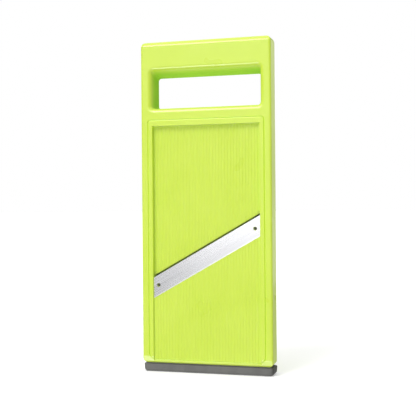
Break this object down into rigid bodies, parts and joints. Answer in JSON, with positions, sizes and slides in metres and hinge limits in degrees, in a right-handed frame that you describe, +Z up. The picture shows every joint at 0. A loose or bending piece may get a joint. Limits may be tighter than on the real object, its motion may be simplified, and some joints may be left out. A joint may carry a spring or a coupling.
{
  "type": "mandoline slicer",
  "caption": "Flat hand-held mandoline slicer with a handle window, a lift-out ribbed slicing insert, a slanted steel blade and a soft foot.",
  "frame": {"origin": "middle of the underside of the bounding box, on the surface the foot stands on", "axes": "+Z up towards the handle bar, -Y out of the slicing face, +X to the right seen from the slicing face"},
  "size_m": [0.11, 0.02, 0.2728],
  "materials": {
    "lime_plastic": "satin gloss",
    "blade_steel": "brushed, polished",
    "grey_rubber": "matte"
  },
  "bodies": {
    "frame_body": {"frame": "lime_plastic", "foot": "grey_rubber"},
    "insert_body": {"slicing_insert": "lime_plastic", "blade": "blade_steel", "blade_pins": "lime_plastic"}
  },
  "joints": [
    {"name": "insert_lift", "type": "slide", "parent": "frame_body", "child": "insert_body", "axis": [0, -1, 0], "range_m": [0, 0.03]}
  ]
}
